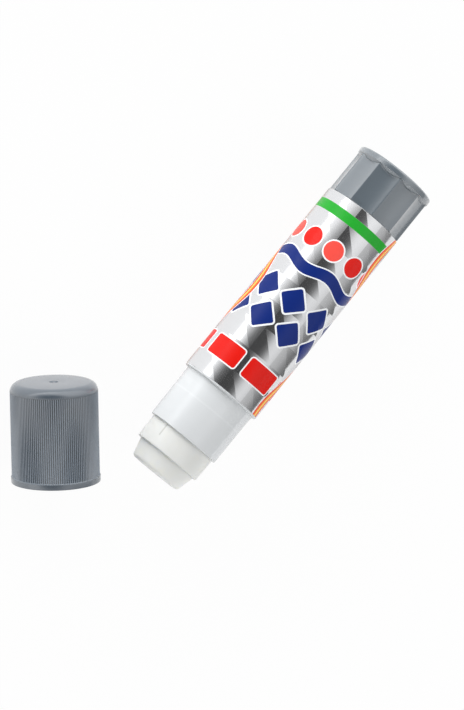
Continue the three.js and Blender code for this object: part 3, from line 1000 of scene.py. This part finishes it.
def make_glue(finish):
    side = [(CUP_TOP + (MOUTH - CUP_TOP) * i / GLUE_STEPS, GLUE_RADIUS) for i in range(1, GLUE_STEPS + 1)]
    shares = [i / TIP_STEPS for i in range(1, TIP_STEPS - 1)]
    taper = [(MOUTH + (TIP - MOUTH) * s, GLUE_RADIUS + (GLUE_TIP - GLUE_RADIUS) * s) for s in shares]
    points = outline([
        (GLUE_BORE_END, 0),
        (GLUE_BORE_END, SCREW_PATH),
        (GLUE_START, SCREW_PATH),
        (GLUE_START, GLUE_FOOT),
        (CUP_TOP + CUP_GAP, GLUE_FOOT),
        (CUP_TOP + CUP_GAP, GLUE_RADIUS),
        *side,
        *taper,
        (TIP, GLUE_TIP, TIP_ROUND),
        (TIP, GLUE_TIP / 2),
        (TIP, 0),
    ])
    mesh = turned("glue_body", points, even_angles(ROUND_FACES), glue_radius)
    settle("glue_rod", mesh, stick_place, finish, "lift", "glue")


def ribbed_radius(station, radius, angle):
    """Cuts the valleys between the cap's ribs, which run out before the band and the shoulder."""
    if radius < CAP_RADIUS - CAP_ROUND_GAP or station < BAND_LENGTH + BAND_STEP:
        return radius
    run_in = min(1, (station - BAND_LENGTH - BAND_STEP) / RIB_FADE)
    run_out = min(1, max(0, (CAP_HEIGHT - CAP_ROUND + RIB_FADE - station) / RIB_FADE))
    valley = 0.5 - 0.5 * cos(angle * RIB_COUNT)
    return radius - RIB_DEPTH * valley * run_in * run_out


def make_cap(tree, finish):
    rib_start = BAND_LENGTH + BAND_STEP
    rib_end = CAP_HEIGHT - CAP_ROUND
    gate_floor = CAP_HEIGHT - GATE_DEPTH
    nub_top = CAP_HEIGHT - GATE_DEPTH / 3
    points = outline([
        (nub_top, 0),
        (CAP_CEILING, 0),
        (CAP_CEILING, SEAL_RADIUS, CEILING_ROUND),
        (SEAL_START, SEAL_RADIUS, SOFT_EDGE),
        (SEAL_START - SEAL_LEAD, CAP_BORE, SOFT_EDGE),
        (CAP_MOUTH_LENGTH + CAP_MOUTH_STEP, CAP_BORE),
        (CAP_MOUTH_LENGTH, CAP_MOUTH_RADIUS),
        (0, CAP_MOUTH_RADIUS, SOFT_EDGE),
        (0, BAND_RADIUS, RIM_EDGE),
        (BAND_LENGTH, BAND_RADIUS, EDGE),
        (rib_start, CAP_RADIUS),
        (rib_start + RIB_FADE, CAP_RADIUS),
        (rib_end, CAP_RADIUS),
        (rib_end + RIB_FADE / 2, CAP_RADIUS),
        (CAP_HEIGHT, CAP_RADIUS, CAP_ROUND - RIB_FADE / 2 - CAP_ROUND_GAP),
        (CAP_HEIGHT, GATE_RADIUS + EDGE, EDGE),
        (gate_floor, GATE_RADIUS - GATE_DEPTH / 2, THIN_EDGE),
        (gate_floor, GATE_NUB, THIN_EDGE),
        (nub_top, GATE_NUB, GATE_NUB_ROUND),
    ])
    half = pi / RIB_COUNT
    angles = [half * (2 * i / RIB_COLUMNS - 1) for i in range(RIB_COLUMNS + 1)]
    sector = turned("cap_sector", points, angles, ribbed_radius, whole=False)
    mesh = from_sectors("cap_body", tree, sector, RIB_COUNT, 0, finish)
    settle("ribbed_cap", mesh, cap_place, finish, "cap", "cap")


def dress_hidden_nodes(finish):
    """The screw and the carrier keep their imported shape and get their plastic."""
    for name in ("spindle", "carrier"):
        node = frame["nodes"][name]
        node.data.materials.clear()
        node.data.materials.append(finish)


# The floor's colour and half its side in metres
FLOOR_COLOUR = (0.92, 0.92, 0.92, 1)
FLOOR_HALF = 3

# How far the floor glows by itself where it is seen directly, and where it is mirrored in the pieces.
# What they mirror of it glows less from just before the stick on, so that the stick's shadow shows there.
SEEN_SHARE = 0.95
MIRRORED_SHARE = 0.82
SHADED_SHARE = 0.15
SHADE_FADE = 4


def make_floor():
    """A plain pale floor, which is nearly white to the eye and keeps its shadow."""
    mesh = bpy.data.meshes.new("floor")
    corners = [(-1, -1), (1, -1), (1, 1), (-1, 1)]
    mesh.from_pydata([(x * FLOOR_HALF, y * FLOOR_HALF, 0) for x, y in corners], [], [(0, 1, 2, 3)])
    floor = bpy.data.objects.new("floor", mesh)
    bpy.context.collection.objects.link(floor)
    material = bpy.data.materials.new("pale_floor")
    material.use_nodes = True
    material.node_tree.nodes.clear()
    tree = Tree(material.node_tree)
    rays = tree.add("ShaderNodeLightPath").outputs
    across = tree.add("ShaderNodeSeparateXYZ", {0: tree.place()}).outputs["Y"]
    share = tree.ramp(across, label_low.y - SHADE_FADE * MM, label_low.y, MIRRORED_SHARE, SHADED_SHARE)
    mirrored = tree.math("MULTIPLY", rays["Is Glossy Ray"], share)
    direct = tree.math("MAXIMUM", rays["Is Camera Ray"], rays["Is Transmission Ray"])
    glow = tree.math("MAXIMUM", tree.math("MULTIPLY", direct, SEEN_SHARE), mirrored)
    plain = tree.add("ShaderNodeBsdfDiffuse", {"Color": FLOOR_COLOUR}).outputs[0]
    white = tree.add("ShaderNodeEmission", {"Color": (1, 1, 1, 1), "Strength": 1}).outputs[0]
    mixed = tree.add("ShaderNodeMixShader", {0: glow, 1: plain, 2: white})
    tree.feed(tree.add("ShaderNodeOutputMaterial").inputs["Surface"], mixed.outputs[0])
    mesh.materials.append(material)


# The studio is a light tent with a dark round opening near the camera. Its brightness goes by the angle
# in degrees from that opening, by how far a direction turns to the camera's side, and by how far it turns
# to the tip of the stick. These three are listed as pairs of a place and a level.
DARK_AZIMUTH = 18
DARK_ELEVATION = 61
TENT = (
    (0, 0.01),
    (18, 0.02),
    (25, 0.1),
    (28, 0.17),
    (33, 0.38),
    (42, 0.78),
    (50, 0.94),
    (180, 0.94),
)
SIDES = (
    (-1, 0.12),
    (-0.97, 0.2),
    (-0.85, 0.46),
    (-0.42, 0.82),
    (0, 1),
    (0.9, 1.05),
    (0.94, 1.15),
    (1, 1.15),
)
ENDS = (
    (-1, 1.6),
    (-0.7, 1.6),
    (-0.2, 1),
    (0.2, 1),
    (0.7, 1.35),
    (0.9, 1.2),
    (1, 0.5),
)

# The share of the tent's light that falls on the pieces, where their gloss mirrors all of it
SOFT_SHARE = 0.86

# Each lamp's name, azimuth, elevation, distance, width, height and power. Only the key shows in gloss.
LAMP_AIM = Vector((0, 0, 0.01))
LAMPS = (
    ("key", -10, 9.5, 1.6, 2.2, 0.48, 2),
    ("fill", -38, 11, 1.5, 1.6, 0.5, 19),
    ("side", 55, 20, 1.6, 1.2, 0.6, 2.6),
    ("back", 175, 30, 1.6, 1.8, 0.7, 9),
)


def light_studio():
    world = bpy.data.worlds.new("studio")
    bpy.context.scene.world = world
    world.use_nodes = True
    tree = Tree(world.node_tree)
    way = tree.add("ShaderNodeTexCoord").outputs["Generated"]
    opening = tuple(towards(DARK_AZIMUTH, DARK_ELEVATION))
    angle = tree.math("ARCCOSINE", tree.measure("DOT_PRODUCT", way, opening))
    tent = tree.grades(angle, [(radians(place), level) for place, level in TENT])
    apart = tree.add("ShaderNodeSeparateXYZ", {0: way}).outputs
    sides = tree.grades(tree.math("MULTIPLY", apart["Y"], -1.0), SIDES)
    ends = tree.grades(apart["X"], ENDS)
    level = tree.math("MULTIPLY", tree.math("MULTIPLY", tent, sides), ends)
    mirrored = tree.add("ShaderNodeLightPath").outputs["Is Glossy Ray"]
    level = tree.math("MULTIPLY", level, tree.math("MULTIPLY_ADD", mirrored, 1 - SOFT_SHARE, SOFT_SHARE))
    background = world.node_tree.nodes["Background"]
    background.inputs["Color"].default_value = (1, 1, 1, 1)
    tree.feed(background.inputs["Strength"], level)
    for name, azimuth, elevation, distance, width, height, power in LAMPS:
        data = bpy.data.lights.new(name, "AREA")
        data.shape, data.size, data.size_y, data.energy = "RECTANGLE", width, height, power
        lamp = bpy.data.objects.new(name, data)
        bpy.context.collection.objects.link(lamp)
        lamp.matrix_world = aimed(LAMP_AIM, azimuth, elevation, distance)
        lamp.visible_camera = False
        lamp.visible_glossy = name == "key"


def build():
    make_camera()
    make_floor()
    light_studio()
    bpy.context.scene.view_settings.view_transform = "Standard"
    finishes = make_materials()
    ring = ring_of_sectors_tree()
    make_knob(ring, finishes["grey"])
    make_barrel(finishes["frosted"])
    make_inner_tube(ring, finishes["milky"])
    make_label(finishes["foil"])
    make_glue(finishes["wax"])
    make_cap(ring, finishes["cap"])
    dress_hidden_nodes(finishes["natural"])


build()
